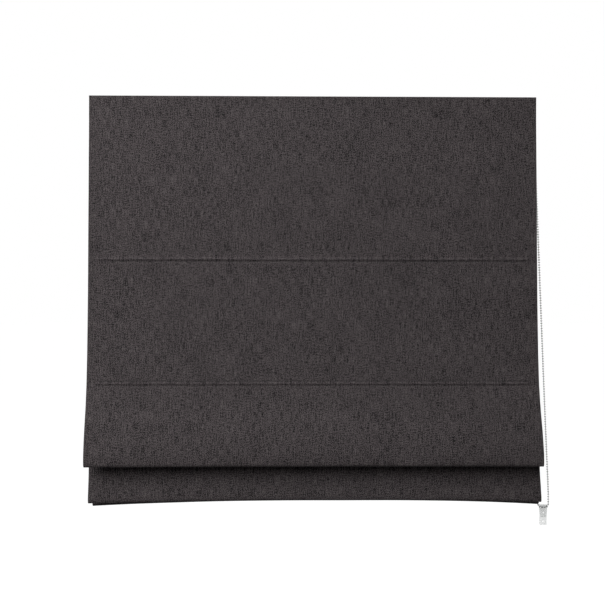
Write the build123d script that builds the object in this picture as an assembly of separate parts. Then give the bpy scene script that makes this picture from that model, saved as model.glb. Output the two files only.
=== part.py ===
from build123d import *
from math import cos, pi, radians, sin, sqrt, tan
import os

# A roman blind drawn up part of the way, in millimetres. The wall is the plane y = 0, the room is
# towards -Y and +Z is up. The origin is the centre of the four fixing holes of the two brackets.

# Overall sizes
CLOTH_WIDTH = 1040.0
CLOTH_THICK = 0.8
TOP_PANEL = 382.0           # cloth edge to the first batten
BATTEN_PITCH = 286.0        # first batten to the second, hanging flat
RAIL_DEPTH = 34.0
RAIL_HEIGHT = 32.0
RAIL_TO_WALL = 7.0

# Headrail extrusion
RAIL_WALL = 1.4
RAIL_LIP = 4.0              # bottom lips that carry the cradles
SLOT_DEPTH = 3.5            # C slot along the top, for the brackets
SLOT_LIP = 3.5
SLOT_LIP_THICK = 1.2
TAPE_THICK = 1.0
TAPE_HEIGHT = 25.0
CLOTH_ABOVE_RAIL = 4.0

# Brackets
BRACKET_SPAN = 800.0        # centre to centre
BRACKET_WIDTH = 28.0
BRACKET_STEEL = 1.6
FIXING_PITCH = 14.0
FIXING_R = 2.25
LEVER_FROM_REAR = 13.0      # lever axis to the rail's rear face
LEVER_POST_R = 3.9
CAM_SQUARE = 5.0
CAM_REACH = 11.0
LEVER_REACH = 18.0
LEVER_WIDTH = 10.0
LEVER_THICK = 2.0
CLAW_INSET = 7.0            # the claw is this much narrower than the bracket on each side

# Chain drive
BEAD_D = 4.5
BEAD_PITCH = 6.0
POCKETS = 12
POCKET_GAP = 0.2
CHAIN_LINK_D = 1.2
WHEEL_WIDTH = 6.4
WHEEL_GAP = 0.4             # wheel to guard
HUB_R = 6.5
HUB_LENGTH = 26.0
SOCKET_DEPTH = 0.7          # how far the square bore reaches into the wheel
STUB_R = 2.0
STUB_LENGTH = 4.0
CONTROL_WIDTH = 18.0
CONTROL_PLUG = 20.0
GUARD_THICK = 1.8
CHAIN_SPACE = 0.9           # between the beads on the wheel and the housing
CHAIN_SLOT_SPACE = 0.8      # between a strand and the inner side of its slot
CHAIN_BEHIND = 1.2          # between a strand and the wall behind it
END_CAP_THICK = 2.5
END_CAP_PLUG = 16.0
PLUG_WALL = 1.6
BOSS_WALL = 2.0

# Screws of the chain guard
GUARD_SCREW_R = 1.4
GUARD_SCREW_LENGTH = 10.0
GUARD_SCREW_HEAD_R = 1.9
GUARD_SCREW_HEAD = 0.8
GUARD_SCREW_APART = 27.2
GUARD_SCREW_DROP = 3.0      # below the top of the housing

# Brake: a wrap spring between the wheel's hub and the housing's bore
SPRING_WIRE = 1.2
SPRING_GAP = 0.3
SPRING_TURNS = 4
SPRING_FROM_END = 6.0

# Shaft, spools and lift cords
SHAFT = 6.0
SHAFT_GAP = 0.1
TURN_LIFT = 50.0            # cord wound by one turn of the shaft
CORD_D = 1.0
WOUND_TURNS = 10            # on each spool as drawn: two safety turns and the two folds
CORD_X = (-390.0, 0.0, 390.0)
SPOOL_BARREL = 24.0
SPOOL_FLANGE_R = 10.0
SPOOL_FLANGE = 1.6
JOURNAL_R = 6.0
JOURNAL = 4.0
CRADLE_FLOOR = 2.0
CRADLE_ARM = 3.0

# Running fits
RUN = 0.05                  # radial, shafts in their bearings
GAP = 0.3                   # between pieces that only lie against each other

# Battens
ROD_D = 4.0
ROD_BEYOND_POCKET = 7.0
SIDE_HEM = 27.0
POCKET_TAPE = 0.7
POCKET_HEIGHT = 9.0
CAP_LENGTH = 7.0
CAP_WALL = 0.8
RING_MOUTH = 0.6            # from the pocket's front to the ends of a ring's arms
RING_WIDTH = 6.0
RING_WALL = 1.2
EYE_R = 2.4
EYE_HEIGHT = 3.0
EYE_NECK = 0.9
CORD_BEND = 6.0             # radius of a cord's turn in a ring
STOPPER_R = 2.9
STOPPER_LENGTH = 9.0

# How the photo shows the pleats: each batten's drop, and each loop's cloth that its curve takes up
THIRD_BELOW_SECOND = 96.0
FOURTH_BELOW_THIRD = 68.0
FRONT_LOOP_CURVE = 9.0
SECOND_LOOP_CURVE = 10.0
SKIRT_DROP = 106.0

# Hem and bottom bar
BAR_THICK = 3.0
BAR_HEIGHT = 20.0
HEM = 32.0
BAR_CAP = 6.0

# Chain safety clip on the wall
CLIP_FROM_CLOTH = 29.0
CLIP_TURN_Z = -933.2        # centre of the chain's turn
CLIP_TURN_R = 12.2
CLIP_WIDTH = 19.2
CLIP_ABOVE_CHAIN = 6.3      # top edge to the lowest centre of the chain
CLIP_COVER = 29.0
CLIP_BASE = 49.0
CLIP_HALF = 4.2             # thickness of each half
CLIP_TAPER = 2.2
CLIP_HOLE_R = 2.1
CLIP_HOLE_PITCH = 22.0
CLIP_FIRST_HOLE = 18.3
CLIP_RIM_R = 4.4            # rim round the lower hole
CLIP_RIM_WALL = 1.2
CLIP_RIM_HEIGHT = 1.0
CONNECTOR_LENGTH = 14.0
CONNECTOR_WALL = 1.2

# Places that follow from them
HALF_WIDTH = CLOTH_WIDTH / 2
CLIP_X = HALF_WIDTH + CLIP_FROM_CLOTH
CLIP_PLANE_Y = -CLIP_HALF   # the chain turns where the two halves meet
CLIP_TOP = CLIP_TURN_Z - CLIP_TURN_R + CLIP_ABOVE_CHAIN
RAIL_BACK = -RAIL_TO_WALL
RAIL_FRONT = RAIL_BACK - RAIL_DEPTH
SHAFT_Y = RAIL_BACK - RAIL_DEPTH / 2
SHAFT_Z = 0.0
RAIL_TOP = RAIL_HEIGHT / 2
RAIL_BOTTOM = -RAIL_HEIGHT / 2
CLOTH_BACK = RAIL_FRONT - 2 * TAPE_THICK
CLOTH_FRONT = CLOTH_BACK - CLOTH_THICK
CLOTH_TOP = RAIL_TOP + CLOTH_ABOVE_RAIL
RAIL_LEFT = -HALF_WIDTH + END_CAP_THICK
RAIL_RIGHT = HALF_WIDTH - CONTROL_WIDTH
PITCH_R = POCKETS * BEAD_PITCH / (2 * pi)
WHEEL_X = HALF_WIDTH - GUARD_THICK - WHEEL_GAP - WHEEL_WIDTH / 2
CHAIN_SPACE_R = PITCH_R + BEAD_D / 2 + CHAIN_SPACE
SPOOL_WORK_R = TURN_LIFT / (2 * pi)
BARREL_R = SPOOL_WORK_R - CORD_D / 2
LEVER_Y = RAIL_BACK - LEVER_FROM_REAR
SPRING_R = HUB_R + SPRING_WIRE / 2 + SPRING_GAP
BRAKE_BORE_R = SPRING_R + SPRING_WIRE / 2 + SPRING_GAP
CHAIN_START_Z = SHAFT_Z - BEAD_PITCH - BEAD_D / 2 - 0.25
ROD_LENGTH = CLOTH_WIDTH - 2 * SIDE_HEM + 2 * ROD_BEYOND_POCKET
POCKET_DEPTH = ROD_D + 2 * POCKET_TAPE + 2 * GAP

# The cloth's side profile: (forward of the top edge, below the top edge), where the photo shows it.
# Both folds end on a crest, where the cloth turns down again over its batten.
FIRST = TOP_PANEL
SECOND = FIRST + BATTEN_PITCH
THIRD = SECOND + THIRD_BELOW_SECOND
FOURTH = THIRD + FOURTH_BELOW_THIRD
FRONT_LOOP = SECOND + (BATTEN_PITCH + THIRD_BELOW_SECOND) / 2 - FRONT_LOOP_CURVE
SECOND_LOOP = THIRD + (BATTEN_PITCH + FOURTH_BELOW_THIRD) / 2 - SECOND_LOOP_CURVE
BATTENS = [(8.0, FIRST), (24.4, SECOND), (16.0, THIRD), (3.0, FOURTH)]
CLOTH_END = (CLOTH_THICK + GAP) / 2     # from a batten's line to the end of each stretch's middle line
TOP_PROFILE = [
    (0.0, CLOTH_THICK / 2), (0.0, 0.16 * TOP_PANEL), (4.2, 0.63 * TOP_PANEL), (8.0, FIRST - CLOTH_END),
]
SECOND_PROFILE = [
    (8.0, FIRST + CLOTH_END), (11.0, FIRST + 0.325 * BATTEN_PITCH), (17.0, FIRST + 0.713 * BATTEN_PITCH),
    (24.4, SECOND - CLOTH_END),
]
FRONT_FOLD = [
    (24.6, SECOND + CLOTH_END), (36.0, SECOND + 53.0), (50.5, SECOND + 104.0), (60.8, FRONT_LOOP - 35.0),
    (60.8, FRONT_LOOP), (44.5, FRONT_LOOP), (30.0, FRONT_LOOP - 44.0), (17.6, THIRD + 0.6),
]
SECOND_FOLD = [
    (16.0, THIRD + 0.8), (17.5, SECOND_LOOP - 71.0), (25.0, SECOND_LOOP - 26.0), (26.0, SECOND_LOOP),
    (14.0, SECOND_LOOP), (9.0, SECOND_LOOP - 41.0), (4.6, FOURTH + 0.6),
]
SKIRT_TOP = (3.0, FOURTH + 0.8)
SKIRT_BOTTOM = (-4.0, FOURTH + SKIRT_DROP)

# The chain's two strands, from the wheel down to its turn in the safety clip
FRONT_STRAND = [
    (WHEEL_X, SHAFT_Y - PITCH_R, CHAIN_START_Z),
    (HALF_WIDTH + 7.9, -28.0, -229.0),
    (HALF_WIDTH + 18.0, -20.4, -453.0),
    (HALF_WIDTH + 32.2, -10.4, -750.0),
    (CLIP_X + CLIP_TURN_R, CLIP_PLANE_Y, -905.0),
    (CLIP_X + CLIP_TURN_R, CLIP_PLANE_Y, CLIP_TURN_Z),
]
REAR_STRAND = [
    (CLIP_X - CLIP_TURN_R, CLIP_PLANE_Y, CLIP_TURN_Z),
    (CLIP_X - CLIP_TURN_R, CLIP_PLANE_Y, -905.0),
    (HALF_WIDTH + 9.5, -7.4, -650.0),
    (HALF_WIDTH + 1.5, -10.3, -330.0),
    (WHEEL_X, SHAFT_Y + PITCH_R, CHAIN_START_Z),
]


def from_cloth_edge(forward, below):
    """The (y, z) of a point on the cloth's front, given from its top edge."""
    return (CLOTH_FRONT - forward, CLOTH_TOP - below)


def block(x, y, z):
    """A box from three (start, end) pairs."""
    size = [abs(end - start) for start, end in (x, y, z)]
    middle = [(start + end) / 2 for start, end in (x, y, z)]
    return Pos(*middle) * Box(*size)


def post(radius, height):
    """A cylinder that stands on its local origin."""
    return Cylinder(radius, height, align=(Align.CENTER, Align.CENTER, Align.MIN))


def rectangle(y, z):
    """A rectangle in a (y, z) section, from two (start, end) pairs."""
    return Pos((y[0] + y[1]) / 2, (z[0] + z[1]) / 2) * Rectangle(abs(y[1] - y[0]), abs(z[1] - z[0]))


def along_x(section, start, end):
    """Extrude a (y, z) section from one x to another."""
    return extrude(Plane.YZ.offset(start) * section, amount=end - start)


def on_shaft(x):
    """A place on the shaft's axis whose local Z runs along +X."""
    return Pos(x, SHAFT_Y, SHAFT_Z) * Rot(0, 90, 0)


def turned(outline, x):
    """Revolve an outline of (along, radius) points about the shaft's axis, from x."""
    points = [(radius, 0, along) for along, radius in outline]
    return on_shaft(x) * revolve(make_face(Polyline(*points, close=True)), Axis.Z)


def strip(line, thickness):
    """A band of even thickness along straight runs and arcs."""
    return make_face(offset(line, amount=thickness / 2, side=Side.BOTH))


def cloth(profile):
    """One stretch of cloth, a sheet along X whose side profile has a round at every point."""
    middle = [(y + CLOTH_THICK / 2, z) for y, z in (from_cloth_edge(*p) for p in profile)]
    line = FilletPolyline(*middle, radius=corner_radii(middle))
    return along_x(strip(line, CLOTH_THICK), -HALF_WIDTH, HALF_WIDTH)


def corner_radii(points, share=0.45):
    """The largest radius that each corner of a route leaves room for."""
    radii = []
    for before, corner, after in zip(points, points[1:], points[2:]):
        into, out = Vector(*corner) - Vector(*before), Vector(*after) - Vector(*corner)
        half_turn = radians(into.get_angle(out)) / 2
        radii.append(share * min(into.length, out.length) / tan(half_turn))
    return radii


def tube(path, diameter, name):
    """A round cord along a path, with its volume compared with section times length."""
    solid = sweep(Plane(path @ 0, z_dir=path % 0) * Circle(diameter / 2), path=path)
    expected = pi * diameter**2 / 4 * path.length
    print(f"{name}: {path.length:.1f} mm long, volume {solid.volume / expected:.4f} of section x length")
    return solid


# Headrail: an open channel with lips below and a C slot above
def headrail():
    inner_y = (RAIL_FRONT + RAIL_WALL, RAIL_BACK - RAIL_WALL)
    web_top = RAIL_TOP - SLOT_DEPTH
    section = rectangle((RAIL_FRONT, inner_y[0]), (RAIL_BOTTOM, RAIL_TOP))
    section += rectangle((inner_y[1], RAIL_BACK), (RAIL_BOTTOM, RAIL_TOP))
    section += rectangle(inner_y, (web_top - RAIL_WALL, web_top))
    for side, inward in ((inner_y[0], 1), (inner_y[1], -1)):
        section += rectangle((side, side + inward * RAIL_LIP), (RAIL_BOTTOM, RAIL_BOTTOM + RAIL_WALL))
        section += rectangle((side, side + inward * SLOT_LIP), (RAIL_TOP - SLOT_LIP_THICK, RAIL_TOP))
    corners = section.vertices().group_by(Axis.Y)[0] + section.vertices().group_by(Axis.Y)[-1]
    section = fillet(corners, 0.5)
    return along_x(section, RAIL_LEFT, RAIL_RIGHT)


def tape(back):
    """One tape of the hook and loop pair, whose back lies at this y."""
    return block((RAIL_LEFT, RAIL_RIGHT), (back - TAPE_THICK, back), (-TAPE_HEIGHT / 2, TAPE_HEIGHT / 2))


def plug_section(gap=GAP):
    """The outline of what slides into the rail's end, between its web and its lips."""
    inside = RAIL_WALL + gap
    section = rectangle(
        (RAIL_FRONT + inside, RAIL_BACK - inside),
        (RAIL_BOTTOM + inside, RAIL_TOP - SLOT_DEPTH - inside),
    )
    return fillet(section.vertices(), 1.5)


def end_outline():
    """The outline of both end pieces, flush with the rail."""
    section = rectangle((RAIL_FRONT, RAIL_BACK), (RAIL_BOTTOM, RAIL_TOP))
    return fillet(section.vertices(), 2.0)


# Left end cap: a rounded plate with a hollow plug and a bearing for the shaft's end
def end_cap():
    plug_end = RAIL_LEFT + END_CAP_PLUG
    bearing_r = SHAFT * sqrt(2) / 2 + RUN       # the square shaft turns on its corners
    cap = along_x(end_outline(), -HALF_WIDTH, RAIL_LEFT)
    outer = plug_section()
    cap += along_x(outer - offset(outer, amount=-PLUG_WALL), RAIL_LEFT, plug_end)
    cap += on_shaft(RAIL_LEFT) * post(bearing_r + BOSS_WALL, END_CAP_PLUG)
    rib_y = (SHAFT_Y - PLUG_WALL / 2, SHAFT_Y + PLUG_WALL / 2)
    rib_z = (RAIL_BOTTOM + RAIL_WALL + GAP, RAIL_TOP - SLOT_DEPTH - RAIL_WALL - GAP)
    cap += block((RAIL_LEFT, plug_end), rib_y, rib_z)
    return cap - on_shaft(RAIL_LEFT) * post(bearing_r, END_CAP_PLUG)


def guard_screw_places(x):
    """The two screws of the chain guard, at an x, with the local Z along +X."""
    middle = Pos(x, SHAFT_Y, RAIL_TOP - GUARD_SCREW_DROP)
    return [middle * Pos(0, side * GUARD_SCREW_APART / 2, 0) * Rot(0, 90, 0) for side in (-1, 1)]


# Control housing: it closes the rail's right end and holds the chain wheel and the brake
def control_housing():
    wheel_space = WHEEL_X - WHEEL_WIDTH / 2 - GAP
    body_end = HALF_WIDTH - GUARD_THICK
    body = along_x(end_outline(), RAIL_RIGHT, body_end)
    body += along_x(plug_section(), RAIL_RIGHT - CONTROL_PLUG, RAIL_RIGHT)
    body -= on_shaft(wheel_space) * post(CHAIN_SPACE_R, body_end - wheel_space)
    slot_r = PITCH_R - BEAD_D / 2 - CHAIN_SLOT_SPACE
    for side in (-1, 1):
        sides = sorted((SHAFT_Y + side * slot_r, SHAFT_Y + side * CHAIN_SPACE_R))
        slot = rectangle(sides, (RAIL_BOTTOM - 1, SHAFT_Z))
        body -= along_x(slot, WHEEL_X - BEAD_D / 2 - CHAIN_BEHIND, body_end)
    for place in guard_screw_places(HALF_WIDTH - GUARD_SCREW_LENGTH - 1):
        body -= place * post(GUARD_SCREW_R + RUN, GUARD_SCREW_LENGTH)
    body -= on_shaft(RAIL_RIGHT - CONTROL_PLUG) * post(BRAKE_BORE_R, CONTROL_PLUG)
    body -= on_shaft(RAIL_RIGHT) * post(HUB_R + RUN, wheel_space - RAIL_RIGHT)
    return body


# Chain guard: the cover of the housing, with the stub that the wheel turns on
def chain_guard():
    start = HALF_WIDTH - GUARD_THICK
    plate = along_x(end_outline(), start, HALF_WIDTH)
    plate = chamfer(plate.faces().sort_by(Axis.X)[-1].edges(), 0.8)
    plate += on_shaft(start - STUB_LENGTH) * post(STUB_R, STUB_LENGTH)
    for place in guard_screw_places(start):
        plate -= place * post(GUARD_SCREW_R + RUN, GUARD_THICK)
    return plate


def guard_screws():
    """Two screws that hold the guard on, with their heads against it."""
    shank = post(GUARD_SCREW_R, GUARD_SCREW_LENGTH)
    head = Pos(0, 0, GUARD_SCREW_LENGTH) * post(GUARD_SCREW_HEAD_R, GUARD_SCREW_HEAD)
    driver_slot = Pos(0, 0, GUARD_SCREW_LENGTH + GUARD_SCREW_HEAD) * Box(0.6, 3, GUARD_SCREW_HEAD)
    screw = shank + head - driver_slot
    return Compound([place * screw for place in guard_screw_places(HALF_WIDTH - GUARD_SCREW_LENGTH)])


# Chain wheel: twelve ball pockets and a groove for the links, a hub for the brake and a square bore
def chain_wheel():
    face, back = WHEEL_WIDTH / 2, -WHEEL_WIDTH / 2
    groove_r, groove_half = PITCH_R - 1.4, CHAIN_LINK_D / 2 + 0.5
    rim = [
        (back - HUB_LENGTH, 0), (back - HUB_LENGTH, HUB_R - 0.6), (back - HUB_LENGTH + 0.6, HUB_R),
        (back, HUB_R), (back, PITCH_R), (-groove_half, PITCH_R), (-groove_half, groove_r),
        (groove_half, groove_r), (groove_half, PITCH_R), (face, PITCH_R), (face, 0),
    ]
    wheel = turned(rim, WHEEL_X)
    for pocket in PolarLocations(PITCH_R, POCKETS):
        wheel -= on_shaft(WHEEL_X) * pocket * Sphere(BEAD_D / 2 + POCKET_GAP)
    bore = 2 * (SHAFT / 2 + SHAFT_GAP)
    square = Pos(SHAFT_Y, SHAFT_Z) * Rectangle(bore, bore)
    wheel -= along_x(square, WHEEL_X + back - HUB_LENGTH, WHEEL_X + back + SOCKET_DEPTH)
    hole_depth = STUB_LENGTH - WHEEL_GAP + GAP
    return wheel - on_shaft(WHEEL_X + face - hole_depth) * post(STUB_R + RUN, hole_depth)


def brake_spring():
    pitch = SPRING_WIRE + 0.15
    coil = Helix(pitch=pitch, height=SPRING_TURNS * pitch, radius=SPRING_R)
    section = Plane(coil @ 0, z_dir=coil % 0) * Rectangle(SPRING_WIRE, SPRING_WIRE)
    wire = sweep(section, path=coil, is_frenet=True)
    return on_shaft(RAIL_RIGHT - CONTROL_PLUG + SPRING_FROM_END) * wire


def beads_on_wheel():
    """The beads in the wheel's upper pockets and the next one down on each side, with their links."""
    turns = [radians(360 / POCKETS * n) for n in range(POCKETS // 2 + 1)]
    seats = [(PITCH_R * cos(turn), PITCH_R * sin(turn)) for turn in turns]
    seats = [(PITCH_R, -BEAD_PITCH)] + seats + [(-PITCH_R, -BEAD_PITCH)]
    middles = [Vector(WHEEL_X, SHAFT_Y - y, SHAFT_Z + z) for y, z in seats]
    chain = Pos(*middles[0]) * Sphere(BEAD_D / 2)
    for start, end in zip(middles, middles[1:]):
        chain += Pos(*end) * Sphere(BEAD_D / 2)
        link = Plane(start, z_dir=end - start) * Circle(CHAIN_LINK_D / 2)
        chain += extrude(link, amount=(end - start).length)
    return chain


# Bead chain: two strands from the wheel to the turn in the safety clip
def bead_chain():
    front_radii, rear_radii = corner_radii(FRONT_STRAND), corner_radii(REAR_STRAND)
    print("bead_chain radii:", [round(r) for r in front_radii], CLIP_TURN_R, [round(r) for r in rear_radii])
    front = FilletPolyline(*FRONT_STRAND, radius=front_radii)
    rear = FilletPolyline(*REAR_STRAND, radius=rear_radii)
    turn = ThreePointArc(front @ 1, (CLIP_X, CLIP_PLANE_Y, CLIP_TURN_Z - CLIP_TURN_R), rear @ 0)
    return tube(Wire(front.edges() + turn.edges() + rear.edges()), BEAD_D, "bead_chain")


def chain_connector():
    """The snap sleeve that closes the loop, on the rear strand."""
    low, high = Vector(*REAR_STRAND[2]), Vector(*REAR_STRAND[3])
    along = (high - low).normalized()
    place = Plane(low + (high - low) * 0.5, z_dir=along)
    end, waist = CONNECTOR_LENGTH / 2, CONNECTOR_LENGTH / 4
    bore = BEAD_D / 2 + RUN
    lip, wall = bore + 0.6 * CONNECTOR_WALL, bore + CONNECTOR_WALL
    outline = [(bore, -end), (lip, -end), (wall, -waist), (wall, waist), (lip, end), (bore, end)]
    sleeve = revolve(make_face(Polyline(*[(r, 0, z) for r, z in outline], close=True)), Axis.Z)
    side_slit = Box(3 * wall, 1.6, CONNECTOR_LENGTH / 2)
    return place * (sleeve - side_slit)


# Drive shaft and spools
def drive_shaft():
    start, end = RAIL_LEFT + 0.5, WHEEL_X - WHEEL_WIDTH / 2 + SOCKET_DEPTH - GAP
    section = fillet((Pos(SHAFT_Y, SHAFT_Z) * Rectangle(SHAFT, SHAFT)).vertices(), 0.4)
    return along_x(section, start, end)


def cord_spool(x):
    half = SPOOL_BARREL / 2
    flange, end = half + SPOOL_FLANGE, half + SPOOL_FLANGE + JOURNAL
    outline = [
        (-end, 0), (-end, JOURNAL_R), (-flange, JOURNAL_R), (-flange, SPOOL_FLANGE_R),
        (-half, SPOOL_FLANGE_R),
    (-half, BARREL_R), (half, BARREL_R), (half, SPOOL_FLANGE_R), (flange, SPOOL_FLANGE_R),
        (flange, JOURNAL_R), (end, JOURNAL_R), (end, 0),
    ]
    bore = SHAFT / 2 + SHAFT_GAP
    section = Pos(SHAFT_Y, SHAFT_Z) * Rectangle(2 * bore, 2 * bore)
    return turned(outline, x) - along_x(section, x - end, x + end)


def cord_winding(x):
    """The turns of cord already on the spool, one layer."""
    width, outer, inner = WOUND_TURNS * CORD_D, BARREL_R + CORD_D, BARREL_R + 0.02
    return turned([(0, inner), (0, outer), (width, outer), (width, inner)], x - SPOOL_BARREL / 2 + GAP)


def spool_cradle(x):
    """A saddle on the rail's lips, with a bearing at each end of the spool and an outlet for the cord."""
    floor_z = RAIL_BOTTOM + RAIL_WALL
    half_depth = RAIL_DEPTH / 2 - RAIL_WALL - GAP
    arm_start = SPOOL_BARREL / 2 + SPOOL_FLANGE + GAP
    half_length = arm_start + CRADLE_ARM
    cradle = block(
        (x - half_length, x + half_length),
        (SHAFT_Y - half_depth, SHAFT_Y + half_depth),
        (floor_z, floor_z + CRADLE_FLOOR),
    )
    arm = Pos(SHAFT_Y, SHAFT_Z) * Circle(JOURNAL_R + 2.4)
    arm += make_face(Polyline(
        (SHAFT_Y - half_depth + 2, floor_z), (SHAFT_Y + half_depth - 2, floor_z),
        (SHAFT_Y + JOURNAL_R + 2.4, SHAFT_Z), (SHAFT_Y - JOURNAL_R - 2.4, SHAFT_Z), close=True,
    ))
    arm -= Pos(SHAFT_Y, SHAFT_Z) * Circle(JOURNAL_R + RUN)
    cradle += along_x(arm, x - half_length, x - arm_start)
    cradle += along_x(arm, x + arm_start, x + half_length)
    outlet = Cone(3.2, 1.8, CRADLE_FLOOR, align=(Align.CENTER, Align.CENTER, Align.MIN))
    return cradle - Pos(x, SHAFT_Y - SPOOL_WORK_R, floor_z) * outlet


# Brackets: bent steel with a claw under the rail's front lip, and a lever whose cam grips the rear lip
def bracket(x):
    half, steel = BRACKET_WIDTH / 2, BRACKET_STEEL
    plate_low = -FIXING_PITCH / 2 - 9.0
    arm_z = RAIL_TOP + steel / 2
    plate_y, arm_end = -steel / 2, RAIL_FRONT + 8.0
    bend = FilletPolyline((plate_y, plate_low), (plate_y, arm_z), (arm_end, arm_z), radius=steel)
    arm = along_x(strip(bend, steel), x - half, x + half)
    claw_y = RAIL_FRONT + RAIL_WALL + SLOT_LIP + GAP + steel / 2
    toe_z = RAIL_TOP - SLOT_LIP_THICK - GAP - steel / 2
    toe_y = RAIL_FRONT + RAIL_WALL + 1.2
    claw_line = Polyline((claw_y + 6, arm_z), (claw_y, arm_z), (claw_y, toe_z), (toe_y, toe_z))
    claw_half = half - CLAW_INSET
    claw = along_x(strip(claw_line, steel), x - claw_half, x + claw_half)
    body = arm + claw
    for side in (-1, 1):        # the arm narrows to the claw in front
        inner, outer = x + side * claw_half, x + side * half
        body -= block((inner, outer), (RAIL_FRONT, claw_y + steel / 2 + 1.5), (RAIL_TOP, arm_z + steel))
    for z in (-FIXING_PITCH / 2, FIXING_PITCH / 2):
        body -= Pos(x, -steel / 2, z) * Rot(90, 0, 0) * Cylinder(FIXING_R, 2 * steel)
    body -= Pos(x, LEVER_Y, arm_z) * Cylinder(LEVER_POST_R + RUN, 3 * steel)
    return body


def bracket_lever(x):
    """The finger lever above the bracket's arm, with its post down through it."""
    arm_top = RAIL_TOP + BRACKET_STEEL
    cam_low, cam_high = cam_heights()
    handle_z = arm_top + 0.1
    span = LEVER_REACH - LEVER_WIDTH / 2
    handle = extrude(Pos(span / 2, 0, handle_z) * SlotCenterToCenter(span, LEVER_WIDTH), amount=LEVER_THICK)
    handle = chamfer(handle.faces().sort_by(Axis.Z)[-1].edges(), 0.5)
    grip = Pos(span, 0, handle_z + LEVER_THICK) * post(3.4, 1.2)
    pivot = Pos(0, 0, cam_high) * post(LEVER_POST_R, handle_z - cam_high)
    square = extrude(Pos(0, 0, cam_low) * Rectangle(CAM_SQUARE, CAM_SQUARE), amount=cam_high - cam_low)
    return Pos(x, LEVER_Y, 0) * (handle + grip + pivot + square)


def cam_heights():
    """Bottom and top of the cam, inside the rail's slot."""
    web_top = RAIL_TOP - SLOT_DEPTH
    return web_top + GAP, RAIL_TOP - SLOT_LIP_THICK - GAP


def bracket_cam(x):
    low, high = cam_heights()
    hub_r, nose_r = 6.4, 3.0
    plan = make_hull((Circle(hub_r) + Pos(0, CAM_REACH - nose_r) * Circle(nose_r)).edges())
    plan -= Rectangle(CAM_SQUARE + 2 * RUN, CAM_SQUARE + 2 * RUN)
    return Pos(x, LEVER_Y, low) * extrude(plan, amount=high - low)


# Battens and what rides on them
def rod_place(n):
    """The (y, z) of the middle of batten n, behind the cloth."""
    y, z = from_cloth_edge(*BATTENS[n])
    return y + CLOTH_THICK + GAP + POCKET_DEPTH / 2, z


def batten(n):
    y, z = rod_place(n)
    return along_x(Pos(y, z) * Circle(ROD_D / 2), -ROD_LENGTH / 2, ROD_LENGTH / 2)


def pocket_outline():
    return RectangleRounded(POCKET_DEPTH, POCKET_HEIGHT, POCKET_DEPTH / 2 - 0.05)


def batten_pocket(n):
    y, z = rod_place(n)
    half = HALF_WIDTH - SIDE_HEM
    section = pocket_outline() - Circle(ROD_D / 2 + GAP)
    return along_x(Pos(y, z) * section, -half, half)


def batten_caps(n):
    """A cap pushed on each end of the rod, outside its pocket."""
    y, z = rod_place(n)
    bore, end = ROD_D / 2 + RUN, ROD_LENGTH / 2 + GAP + CAP_WALL
    outer = bore + CAP_WALL
    outline = [
        (0, 0), (outer - 0.8, 0), (outer, -0.8), (outer, -CAP_LENGTH), (bore, -CAP_LENGTH), (bore, -CAP_WALL),
        (0, -CAP_WALL),
    ]
    cap = revolve(make_face(Polyline(*[(r, 0, along) for r, along in outline], close=True)), Axis.Z)
    return Compound([Pos(side * end, y, z) * Rot(0, side * 90, 0) * cap for side in (-1, 1)])


def eye_y(n):
    """How far back the middle of the rings on batten n lies."""
    return rod_place(n)[0] + POCKET_DEPTH / 2 + GAP + RING_WALL + EYE_NECK + EYE_R


def ring_guides(n):
    """Rings for the three lift cords, each a clip round the pocket with an eye behind it."""
    y, z = rod_place(n)
    depth, height = POCKET_DEPTH / 2 + GAP, POCKET_HEIGHT + 2 * GAP
    arms = (-POCKET_DEPTH / 2 + RING_MOUTH, depth + RING_WALL)
    clip = rectangle(arms, (-height / 2 - RING_WALL, height / 2 + RING_WALL))
    clip = chamfer(clip.vertices(), 0.5) - rectangle((-depth, depth), (-height / 2, height / 2))
    eye = Circle(EYE_R + RING_WALL) - Circle(EYE_R)
    rings = []
    for x in CORD_X:
        ring = along_x(Pos(y, z) * clip, x - RING_WIDTH / 2, x + RING_WIDTH / 2)
        ring += extrude(Pos(x, eye_y(n), z - EYE_HEIGHT / 2) * eye, amount=EYE_HEIGHT)
        rings.append(ring)
    return Compound(rings)


def cord_stoppers():
    """Bells under the lowest rings, with the cords' knots in them."""
    low = len(BATTENS) - 1
    top = rod_place(low)[1] - EYE_HEIGHT / 2 - 0.1
    outline = [
        (0, 0), (STOPPER_R, 0), (STOPPER_R, -STOPPER_LENGTH + 2), (STOPPER_R - 0.9, -STOPPER_LENGTH),
        (0, -STOPPER_LENGTH),
    ]
    bell = revolve(make_face(Polyline(*[(r, 0, z) for r, z in outline], close=True)), Axis.Z)
    return Compound([Pos(x, eye_y(low), top) * bell for x in CORD_X])


def lift_cord(x, name):
    """One cord, from its spool down through the rings to its stopper."""
    low = len(BATTENS) - 1
    start_z = SHAFT_Z - sqrt((SPOOL_WORK_R + GAP) ** 2 - SPOOL_WORK_R**2)
    end_z = rod_place(low)[1] - EYE_HEIGHT / 2 + 0.1
    route = [(x, SHAFT_Y - SPOOL_WORK_R, start_z)]
    route += [(x, eye_y(n), rod_place(n)[1]) for n in range(low)]
    route += [(x, eye_y(low), end_z)]
    return tube(FilletPolyline(*route, radius=CORD_BEND), CORD_D, name)


# Bottom panel: it hangs from the lowest batten, and its hem holds the bar
def skirt_point(along, back):
    """A point of the bottom panel: along it from the lowest batten, and back from its front layer."""
    lean = (SKIRT_BOTTOM[0] - SKIRT_TOP[0], SKIRT_BOTTOM[1] - SKIRT_TOP[1])
    length = sqrt(lean[0] ** 2 + lean[1] ** 2)
    forward, below = lean[0] / length, lean[1] / length
    y, z = from_cloth_edge(*SKIRT_TOP)
    return y + CLOTH_THICK / 2 - forward * along + below * back, z - below * along - forward * back


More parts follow.
